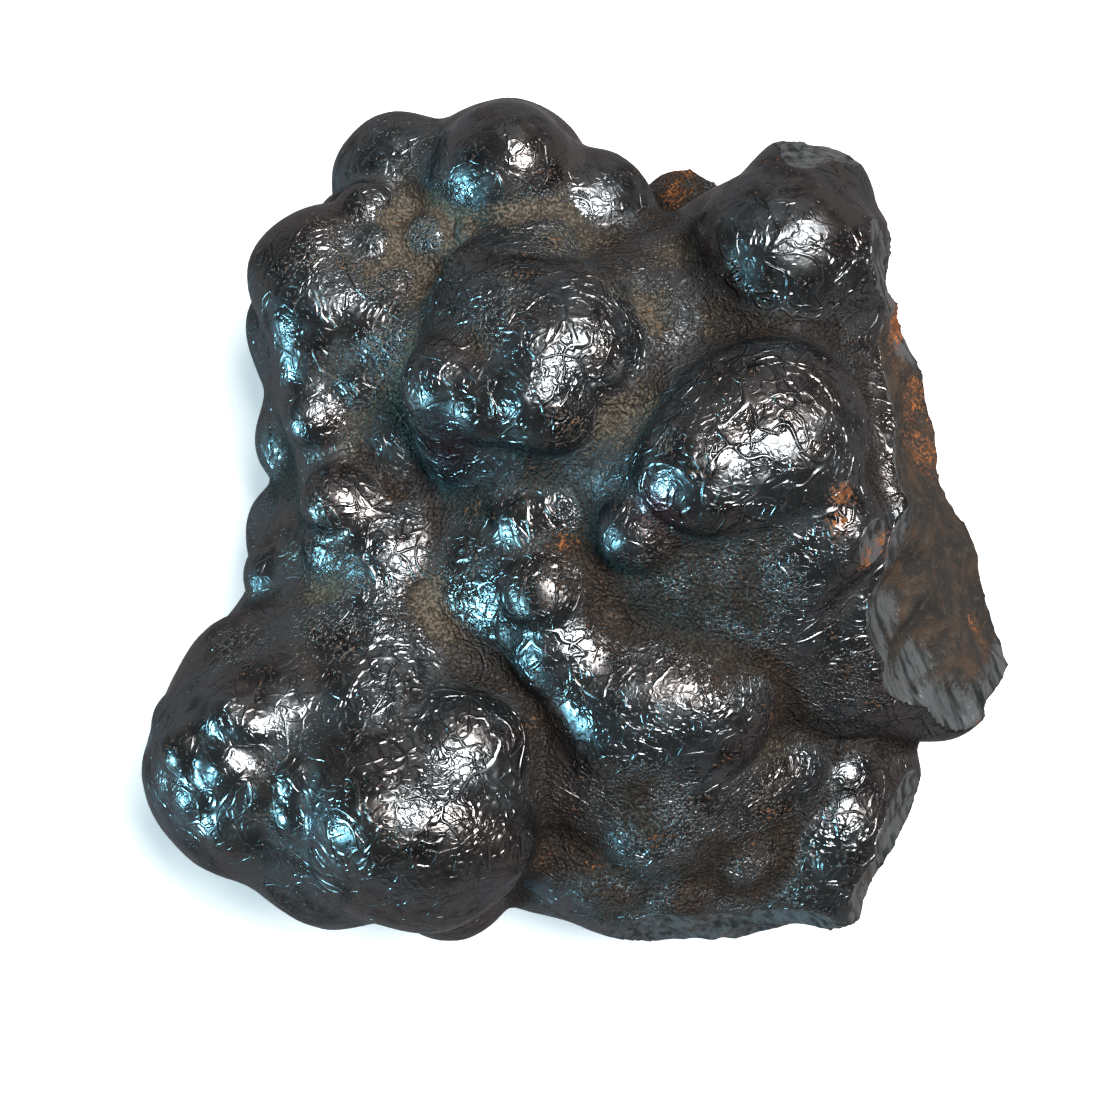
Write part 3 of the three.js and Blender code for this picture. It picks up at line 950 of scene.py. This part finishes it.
    def colour(self) -> Socket:
        """Works out the colour of the surface.

        Returns:
            The colour.
        """
        sheet, finish, place = self.sheet, self.finish, self.place
        skin = sheet.mix(sheet.blots(place, finish.warm_blots), finish.crust, finish.crust_warm)
        skin = sheet.mix(sheet.ramp(self.masks["blots"], *finish.dull_range), skin, finish.crust_dull)
        # Painted shade, with some dark dust: the crust darkens to near black in creases and hollows.
        skin = sheet.mix(self.part("valley", finish.valley_dust_and_shade), skin, finish.dark_dust_and_shade)
        skin = sheet.mix(self.part("red", finish.red_share), skin, finish.red)
        inside = sheet.mix(sheet.blots(place, finish.brown_blots), finish.core, finish.core_brown)
        grains = sheet.math("MULTIPLY", sheet.blots(place, finish.core_grains), finish.core_grain_share)
        inside = sheet.mix(grains, inside, finish.core_grain)
        streaks = sheet.blots(self.drawn(), finish.steel_streaks)
        inside = sheet.mix(self.masks["rind"], inside, sheet.mix(streaks, finish.steel_dark, finish.steel))
        base = sheet.mix(self.masks["broken"], skin, inside)
        specks = sheet.blots(place, finish.dust_specks)
        dim = sheet.math("MULTIPLY", specks, finish.dim_specks)
        # Dark dust, and painted shade in the valleys, on shaded patches and near the floor.
        base = sheet.mix(self.masks["dark"], base, sheet.mix(dim, finish.dark_dust_and_shade, finish.pale_dust))
        pale = sheet.math("MULTIPLY_ADD", specks, finish.pale_specks, finish.pale_least)
        base = sheet.mix(self.masks["pale"], base, sheet.mix(pale, finish.dark_dust_and_shade, finish.pale_dust))
        rust = sheet.mix(sheet.blots(place, finish.rust_blots), finish.rust_dark, finish.rust)
        return sheet.mix(self.masks["rust"], base, rust)

    def roughness(self) -> Socket:
        """Works out how rough the surface is.

        Returns:
            The roughness.
        """
        sheet, finish = self.sheet, self.finish
        skin = sheet.blots(self.place, finish.worn_blots, finish.gloss, finish.worn)
        inside = self.without("rind", finish.rind_polish, finish.broken_rough)
        inside = sheet.math("MULTIPLY", self.masks["broken"], inside)
        dust = self.part("dust", finish.dusty)
        valley = self.part("valley", finish.dusty)
        return sheet.join("MAXIMUM", skin, inside, dust, valley, self.part("rust", finish.rusty))

    def metallic(self) -> Socket:
        """Works out how metallic the surface is.

        Returns:
            The metallic share, small under dust or rust and inside a break.
        """
        sheet, finish = self.sheet, self.finish
        inside = self.without("rind", finish.rind_bare, finish.broken_cover)
        inside = sheet.math("MULTIPLY", self.masks["broken"], inside)
        dust = self.part("dust", finish.dust_cover)
        valley = self.part("valley", finish.valley_cover)
        covered = sheet.join("MAXIMUM", dust, self.masks["rust"], valley, inside)
        return sheet.math("MULTIPLY", sheet.math("SUBTRACT", 1.0, covered), finish.metal)


@dataclass(frozen=True)
class Relief:
    """One kind of relief: how big its features are and how high they stand, in millimetres."""

    size: float
    height: float


@dataclass
class CrumpledSkin:
    """Geometry Nodes that crumple the skin: crooked facets, folds, beads, and ribs on the breaks.

    Attributes:
        facet: The crooked facets of the crust.
        fold: The finer folds between them.
        bead: The beads under the pale dust.
        rib: The ribs that run down a break.
        seed: The seed of every noise.
        cell_softness: How rounded the facets and beads are.
        cell_level: Distance from a cell's middle at which the relief crosses the skin.
        cell_gain: How much of its height a cell gains for each step of that distance.
        fold_gain: The same for a step of the folds' noise.
        fold_detail: How many finer layers the folds have.
        rib_gain: The same for a step of the ribs' noise.
        rib_detail: How many finer layers the ribs have.
        rib_level: How far from even the ribs' noise is where it crosses the skin.
        rib_stretch: What the ribs' place is multiplied by, so that they are drawn out in height.
        still_height: Height above the floor, in millimetres, up to which the skin stays put.
    """

    facet: Relief = Relief(2.4, 0.045)
    fold: Relief = Relief(1.3, 0.022)
    bead: Relief = Relief(3.2, 0.5)
    rib: Relief = Relief(1.0, 0.16)
    seed: int = 7
    cell_softness: float = 0.35
    cell_level: float = 0.45
    cell_gain: float = 2.0
    fold_gain: float = 4.0
    fold_detail: float = 2.0
    rib_gain: float = 5.0
    rib_detail: float = 3.0
    rib_level: float = 0.1
    rib_stretch: Point = (1.0, 1.0, 0.25)
    still_height: float = 0.3

    def values(self) -> dict[str, float]:
        """Lists what each of the tree's inputs is set to, in metres.

        Returns:
            The values by the inputs' names.
        """
        values = {"Seed": float(self.seed)}
        reliefs = {"Facet": self.facet, "Fold": self.fold, "Bead": self.bead, "Rib": self.rib}
        for label, relief in reliefs.items():
            values[f"{label} Size"] = relief.size * MM
            values[f"{label} Height"] = relief.height * MM
        return values

    def tree(self) -> bpy.types.NodeTree:
        """Builds the node tree.

        Returns:
            The tree, with a named input for each size, the seed and the material.
        """
        inputs = [("Geometry", "NodeSocketGeometry", None), ("Material", "NodeSocketMaterial", None)]
        inputs += [(label, "NodeSocketFloat", value) for label, value in self.values().items()]
        sheet, start, end = node_group("crumpled_skin", "GeometryNodeTree", inputs,
                                       ("Geometry", "NodeSocketGeometry"))
        place = sheet.add("GeometryNodeInputPosition").outputs["Position"]
        normal = sheet.add("GeometryNodeInputNormal").outputs["Normal"]
        height = SkinNodes(self, sheet, start, place).height()
        above = sheet.add("ShaderNodeSeparateXYZ", {"Vector": place}).outputs["Z"]
        moved = sheet.add("GeometryNodeSetPosition", {
            "Geometry": start.outputs["Geometry"],
            "Selection": sheet.math("GREATER_THAN", above, self.still_height * MM),
            "Offset": sheet.vector("SCALE", {0: normal, "Scale": height}),
        })
        real = sheet.add("GeometryNodeRealizeInstances", {"Geometry": moved.outputs["Geometry"]})
        dressed = sheet.add("GeometryNodeSetMaterial", {"Geometry": real.outputs["Geometry"],
                                                        "Material": start.outputs["Material"]})
        sheet.tree.links.new(dressed.outputs["Geometry"], end.inputs["Geometry"])
        return sheet.tree

    def apply(self, piece: bpy.types.Object, material: bpy.types.Material) -> None:
        """Crumples a piece and leaves it a plain mesh.

        Args:
            piece: The piece, whose mesh carries the marks.
            material: What the piece is dressed in.
        """
        tree = self.tree()
        modifier = piece.modifiers.new("crumple", "NODES")
        modifier.node_group = tree
        sockets = {item.name: item.identifier for item in tree.interface.items_tree if item.in_out == "INPUT"}
        modifier[sockets["Material"]] = material
        for label, value in self.values().items():
            modifier[sockets[label]] = value
        flatten(piece)


@dataclass
class SkinNodes:
    """Wires up the nodes that give the height of the crumpled skin.

    Attributes:
        skin: The values that aren't inputs of the tree.
        sheet: The tree's sheet.
        start: The tree's input node.
        place: The point on the skin, in metres.
    """

    skin: CrumpledSkin
    sheet: NodeSheet
    start: Node
    place: Socket

    def height(self) -> Socket:
        """Joins every kind of relief.

        Returns:
            The height in metres: ribs on the breaks, and the other kinds on the crust.
        """
        sheet = self.sheet
        broken = self.mark(Mark.BROKEN)
        beads = sheet.math("MULTIPLY", self.cells("Bead"), self.mark(Mark.PALE_DUST))
        crumple = sheet.join("ADD", self.cells("Facet"), self.folds(), beads)
        crumple = sheet.math("MULTIPLY", crumple, sheet.math("SUBTRACT", 1.0, broken, clamp=True))
        return sheet.math("ADD", crumple, sheet.math("MULTIPLY", self.ribs(), broken))

    def mark(self, mark: Mark) -> Socket:
        """Reads one of the marks that the skin's points carry."""
        node = self.sheet.add("GeometryNodeInputNamedAttribute", {"Name": mark.value}, data_type="FLOAT")
        return node.outputs["Attribute"]

    def scale(self, kind: str) -> Socket:
        """Gives the texture scale that one of the tree's sizes asks for."""
        return self.sheet.math("DIVIDE", 1.0, self.start.outputs[f"{kind} Size"])

    def raised(self, level: Socket, kind: str, gain: float) -> Socket:
        """Gives the height in metres of one kind of relief, from its level and gain."""
        return self.sheet.join("MULTIPLY", level, gain, self.start.outputs[f"{kind} Height"])

    def cells(self, kind: str) -> Socket:
        """Gives the height of rounded cells, of the kind Facet or Bead.

        Args:
            kind: Which of the tree's inputs give their size and height.

        Returns:
            The height in metres.
        """
        inputs = {"Vector": self.place, "W": self.start.outputs["Seed"], "Scale": self.scale(kind),
                  "Smoothness": self.skin.cell_softness}
        cells = self.sheet.add("ShaderNodeTexVoronoi", inputs, voronoi_dimensions="4D", feature="SMOOTH_F1")
        level = self.sheet.math("SUBTRACT", self.skin.cell_level, cells.outputs["Distance"])
        return self.raised(level, kind, self.skin.cell_gain)

    def noise(self, place: Socket, kind: str, detail: float) -> Socket:
        """Gives a noise that is even at 0.

        Args:
            place: Where it is read, in metres.
            kind: Which of the tree's inputs gives its size.
            detail: How many finer layers it has.

        Returns:
            The noise, about -0.5 to 0.5.
        """
        inputs = {"Vector": place, "W": self.start.outputs["Seed"], "Scale": self.scale(kind),
                  "Detail": detail}
        noise = self.sheet.add("ShaderNodeTexNoise", inputs, noise_dimensions="4D")
        return self.sheet.math("SUBTRACT", noise.outputs["Fac"], 0.5)

    def folds(self) -> Socket:
        """Gives the height of the crust's finer folds, in metres."""
        return self.raised(self.noise(self.place, "Fold", self.skin.fold_detail), "Fold", self.skin.fold_gain)

    def ribs(self) -> Socket:
        """Gives the height of the ribs that run down a break.

        Returns:
            The height in metres.
        """
        drawn = self.sheet.vector("MULTIPLY", {0: self.place, 1: self.skin.rib_stretch})
        away = self.sheet.math("ABSOLUTE", self.noise(drawn, "Rib", self.skin.rib_detail))
        return self.raised(self.sheet.math("SUBTRACT", away, self.skin.rib_level), "Rib", self.skin.rib_gain)


def flatten(piece: bpy.types.Object) -> None:
    """Turns a piece and its modifiers into a plain mesh, and takes the modifiers off."""
    shown = piece.evaluated_get(bpy.context.evaluated_depsgraph_get())
    mesh = bpy.data.meshes.new_from_object(shown)
    piece.modifiers.clear()
    piece.data = mesh


@dataclass
class Stone:
    """The stone itself: one piece, in place of the coarse solid. Lengths are in millimetres.

    Attributes:
        node: The solid that the piece stands for.
        voxel: How fine the mesh is.
        weld: Points nearer than this are joined.
        settle_rounds: How many times the points are moved onto the true form.
        farthest: The farthest that a point may move.
        sharp_angle: Edges sharper than this stay sharp, in degrees.
        crease_rounds: How often the mesh is evened out to find the creases.
        crease_depth: Depth at which a crease counts in full.
        crease_share: How much a crease makes of a valley.
        hollow_rounds: How often it is evened out to find the wide hollows.
        hollow_depth: Depth at which a hollow counts in full.
        hollow_share: How much a hollow makes of a valley.
        hollow_least: How far a rise takes away from a valley.
        evening: How far each point goes to the middle of its neighbours in one round.
        broken_edge: Width of the edge round a break.
        rind_depth: Depth below the crust at which the steely rind has faded.
        dirt_height: Height up to which the stone's sides get painted shade, dark and dull, towards the floor.
        low_shade: How much of that painted shade lies at the floor.
        pale_bare: Share of a pale patch that lies outside the valleys.
        pale_caught: How much more of it the valleys catch.
        pale_valley: Pale dust in any valley.
        shade_and_dust_in_valleys: Dark dust and painted shade in any valley.
        form: The stone's true form.
        skin: What crumples it.
    """

    node: str = "stone"
    voxel: float = 0.36
    weld: float = 0.001
    settle_rounds: int = 3
    farthest: float = 0.8
    sharp_angle: float = 55.0
    crease_rounds: int = 14
    crease_depth: float = 0.12
    crease_share: float = 0.5
    hollow_rounds: int = 110
    hollow_depth: float = 0.55
    hollow_share: float = 0.7
    hollow_least: float = -0.5
    evening: float = 0.6
    broken_edge: float = 0.3
    rind_depth: float = 1.7
    # Painted shade: the sides darken towards the floor.
    dirt_height: float = 14.0
    low_shade: float = 0.9
    pale_bare: float = 0.65
    pale_caught: float = 0.8
    pale_valley: float = 0.1
    # Painted shade, with some dark dust, in every valley.
    shade_and_dust_in_valleys: float = 0.6
    form: StoneForm = field(default_factory=StoneForm)
    skin: CrumpledSkin = field(default_factory=CrumpledSkin)

    def build(self, finish: bpy.types.Material) -> bpy.types.Object:
        """Builds and dresses the stone.

        Args:
            finish: The stone's material.

        Returns:
            The finished piece.
        """
        piece = self.fine_copy()
        points = self.settled(piece.data)
        self.mark(piece.data, points)
        self.skin.apply(piece, finish)
        piece.data.polygons.foreach_set("use_smooth", np.ones(len(piece.data.polygons), bool))
        piece.data.set_sharp_from_angle(angle=math.radians(self.sharp_angle))
        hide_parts(self.node)
        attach(piece, "root")
        return piece

    def fine_copy(self) -> bpy.types.Object:
        """Copies the coarse solid and gives the copy a fine, even mesh.

        Returns:
            The copy, with no modifier left on it.
        """
        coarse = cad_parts[self.node]
        piece = bpy.data.objects.new("crust", coarse.data.copy())
        bpy.context.scene.collection.objects.link(piece)
        weld = piece.modifiers.new("weld", "WELD")
        weld.merge_threshold = self.weld * MM
        remesh = piece.modifiers.new("fine", "REMESH")
        remesh.mode = "VOXEL"
        remesh.voxel_size = self.voxel * MM
        flatten(piece)
        return piece

    def settled(self, mesh: bpy.types.Mesh) -> np.ndarray:
        """Moves the fine mesh's points onto the stone's true form.

        Args:
            mesh: The fine mesh.

        Returns:
            The moved points, in millimetres.
        """
        flat = np.empty(len(mesh.vertices) * 3)
        mesh.vertices.foreach_get("co", flat)
        points = self.form.settle(flat.reshape(-1, 3) / MM, self.settle_rounds, self.farthest)
        points[:, 2] = np.maximum(points[:, 2], 0.0)
        mesh.vertices.foreach_set("co", (points * MM).ravel())
        mesh.update()
        return points

    def mark(self, mesh: bpy.types.Mesh, points: np.ndarray) -> None:
        """Gives the mesh's points the marks that the material reads.

        Args:
            mesh: The fine mesh.
            points: Its points, in millimetres.
        """
        crust = self.form.crust(points)
        broken = np.clip((self.form.cuts(points) - crust) / self.broken_edge + 0.5, 0.0, 1.0)
        valley = self.valley(mesh, points)
        marks = {Mark.VALLEY: valley, Mark.BROKEN: broken}
        for mark, patches in PATCHES.items():
            marks[mark] = self.patchwork(points, patches)
        low = np.clip(1.0 - points[:, 2] / self.dirt_height, 0.0, 1.0)
        pale = marks[Mark.PALE_DUST] * (self.pale_bare + self.pale_caught * valley)
        pale += self.pale_valley * valley
        # Dark dust and painted shade: the patches, the valleys and the sides near the floor darken together.
        dark = marks[Mark.DARK_DUST_AND_SHADE] + self.shade_and_dust_in_valleys * valley + self.low_shade * low
        marks[Mark.PALE_DUST] = np.clip(pale, 0.0, 1.0) * (1.0 - broken)
        marks[Mark.DARK_DUST_AND_SHADE] = np.clip(dark, 0.0, 1.0) * (1.0 - broken)
        rind = broken * np.exp(-((crust / self.rind_depth) ** 2))
        marks[Mark.RIND] = np.maximum(marks[Mark.RIND], rind)
        for mark, values in marks.items():
            layer = mesh.attributes.new(mark.value, "FLOAT", "POINT")
            layer.data.foreach_set("value", values.astype(np.float32))

    def patchwork(self, points: np.ndarray, patches: Iterable[Patch]) -> np.ndarray:
        """Lays patches over the stone.

        Args:
            points: The mesh's points, in millimetres.
            patches: The patches of one kind.

        Returns:
            The thickest of the patches at each point, from 0 to 1.
        """
        amount = np.zeros(len(points))
        for patch in patches:
            away = np.linalg.norm(points - patch.at, axis=1) / patch.reach
            amount = np.maximum(amount, patch.strength * np.exp(-away * away))
        return amount

    def valley(self, mesh: bpy.types.Mesh, points: np.ndarray) -> np.ndarray:
        """Finds the creases between lumps and the hollows among them.

        Args:
            mesh: The fine mesh.
            points: Its points, in millimetres.

        Returns:
            How much each point lies in a valley, from 0 to 1.
        """
        crease = self.sunk(mesh, points, self.crease_rounds) / self.crease_depth
        hollow = self.sunk(mesh, points, self.hollow_rounds) / self.hollow_depth
        creased = self.crease_share * np.clip(crease, 0.0, 1.0)
        return np.clip(creased + self.hollow_share * np.clip(hollow, self.hollow_least, 1.0), 0.0, 1.0)

    def sunk(self, mesh: bpy.types.Mesh, points: np.ndarray, rounds: int) -> np.ndarray:
        """Measures how far each point lies below its surroundings.

        Args:
            mesh: The fine mesh.
            points: Its points, in millimetres.
            rounds: How often the surroundings are evened out, which sets how wide they are.

        Returns:
            The depth at each point, above zero in a hollow.
        """
        normals = np.empty(len(points) * 3)
        mesh.vertices.foreach_get("normal", normals)
        ends = np.empty(len(mesh.edges) * 2, np.int32)
        mesh.edges.foreach_get("vertices", ends)
        start, end = ends.reshape(-1, 2).T
        count = len(points)
        shared = (np.bincount(start, minlength=count) + np.bincount(end, minlength=count))[:, None]
        even = points.copy()
        for _ in range(rounds):
            sums = [np.bincount(start, even[end, axis], count) + np.bincount(end, even[start, axis], count)
                    for axis in range(3)]
            even = (1.0 - self.evening) * even + self.evening * np.stack(sums, axis=1) / shared
        return ((even - points) * normals.reshape(-1, 3)).sum(axis=1)


@dataclass(frozen=True)
class SoftLight:
    """A rectangular light that faces the stone, in metres and watts.

    Attributes:
        name: The light's name.
        toward: The way from the stone to the light.
        distance: How far off it hangs.
        size: Its width and height.
        power: Its power.
        colour: Its colour.
    """

    name: str
    toward: Point
    distance: float
    size: tuple[float, float]
    power: float
    colour: Point

    def hang(self, aim: Point) -> None:
        """Hangs the light, turned to the point it is aimed at."""
        light = bpy.data.lights.new(self.name, "AREA")
        light.shape = "RECTANGLE"
        light.size, light.size_y = self.size
        light.energy = self.power
        light.color = self.colour
        lamp = bpy.data.objects.new(self.name, light)
        way = Vector(self.toward).normalized()
        lamp.location = way * self.distance + Vector(aim)
        lamp.rotation_euler = way.to_track_quat("Z", "Y").to_euler()
        bpy.context.scene.collection.objects.link(lamp)


@dataclass
class Studio:
    """Pale floor, soft lights and the camera, in metres.

    Attributes:
        floor_size: Length of the floor's sides.
        floor_colour: The floor's colour.
        floor_glow: How much the floor glows to the camera, which keeps the shadow faint.
        mirrored_floor: The floor's colour in reflections, dark enough to keep the stone's rims black.
        floor_roughness: The floor's roughness.
        floor_shine: The floor's specular level.
        room_light: Strength of the even light of the room.
        aim: The point that the lights face.
        lights: The lights.
        camera_place: The camera's place. It looks straight down.
        lens: The camera's focal length in millimetres.
        sensor: The width of its picture plane in millimetres.
        nearest: The least distance that it sees.
    """

    floor_size: float = 3.0
    floor_colour: Colour = (0.86, 0.86, 0.865, 1.0)
    floor_glow: float = 0.45
    mirrored_floor: Colour = (0.18, 0.158, 0.155, 1.0)
    floor_roughness: float = 0.9
    floor_shine: float = 0.1
    room_light: float = 0.06
    aim: Point = (0.0, 0.0, 0.02)
    lights: tuple[SoftLight, ...] = (
        SoftLight("key", (0.29, 0.20, 0.92), 0.9, (0.52, 0.34), 19.0, (1.0, 0.985, 0.965)),
        SoftLight("cool", (-0.9, -0.42, 0.17), 0.6, (0.13, 0.11), 5.0, (0.32, 0.8, 1.0)),
        SoftLight("far", (0.0, 1.0, 0.6), 1.0, (0.9, 0.6), 0.6, (0.93, 0.97, 1.0)),
    )
    camera_place: Point = (-0.00205, -0.0013, 0.2)
    lens: float = 102.0
    sensor: float = 36.0
    nearest: float = 0.01

    def build(self) -> None:
        """Builds the floor, the room's light, the lights and the camera."""
        bpy.context.scene.view_settings.view_transform = "Standard"
        self.floor()
        self.room()
        for light in self.lights:
            light.hang(self.aim)
        self.camera()

    def floor(self) -> None:
        """Lays the pale floor under the stone."""
        half = self.floor_size / 2.0
        corners = [(-half, -half, 0.0), (half, -half, 0.0), (half, half, 0.0), (-half, half, 0.0)]
        mesh = bpy.data.meshes.new("floor")
        mesh.from_pydata(corners, [], [(0, 1, 2, 3)])
        mesh.materials.append(self.paper())
        floor = bpy.data.objects.new("floor", mesh)
        bpy.context.scene.collection.objects.link(floor)

    def paper(self) -> bpy.types.Material:
        """Builds the floor's material.

        Returns:
            The material, pale to the camera and darker in reflections.
        """
        material = bpy.data.materials.new("pale_floor")
        material.use_nodes = True
        shader = material.node_tree.nodes["Principled BSDF"]
        sheet = NodeSheet(material.node_tree)
        path = sheet.add("ShaderNodeLightPath")
        colour = sheet.mix(path.outputs["Is Glossy Ray"], self.floor_colour, self.mirrored_floor)
        glow = sheet.math("MULTIPLY", path.outputs["Is Camera Ray"], self.floor_glow)
        sheet.tree.links.new(colour, shader.inputs["Base Color"])
        sheet.tree.links.new(glow, shader.inputs["Emission Strength"])
        shader.inputs["Roughness"].default_value = self.floor_roughness
        shader.inputs["Specular IOR Level"].default_value = self.floor_shine
        shader.inputs["Emission Color"].default_value = self.floor_colour
        return material

    def room(self) -> None:
        """Fills the room with even, dim light."""
        world = bpy.data.worlds.new("room")
        world.use_nodes = True
        background = world.node_tree.nodes["Background"]
        background.inputs["Color"].default_value = (1.0, 1.0, 1.0, 1.0)
        background.inputs["Strength"].default_value = self.room_light
        bpy.context.scene.world = world

    def camera(self) -> None:
        """Hangs the camera above the stone."""
        lens = bpy.data.cameras.new("camera")
        lens.lens = self.lens
        lens.sensor_width = self.sensor
        lens.clip_start = self.nearest
        camera = bpy.data.objects.new("camera", lens)
        camera.location = self.camera_place
        bpy.context.scene.collection.objects.link(camera)
        bpy.context.scene.camera = camera


def main() -> None:
    """Builds the studio and the stone."""
    logging.basicConfig(level=logging.INFO, format="%(name)s: %(message)s")
    studio = Studio()
    studio.build()
    LOG.info("studio: floor, %d lights and camera", len(studio.lights))
    finish = HematiteFinish().build(WormLines().build(), CellRidges().build())
    LOG.info("%s: material built", finish.name)
    stone = Stone().build(finish)
    LOG.info("%s: %d points, %d faces", stone.name, len(stone.data.vertices), len(stone.data.polygons))


if __name__ == "__main__":
    main()
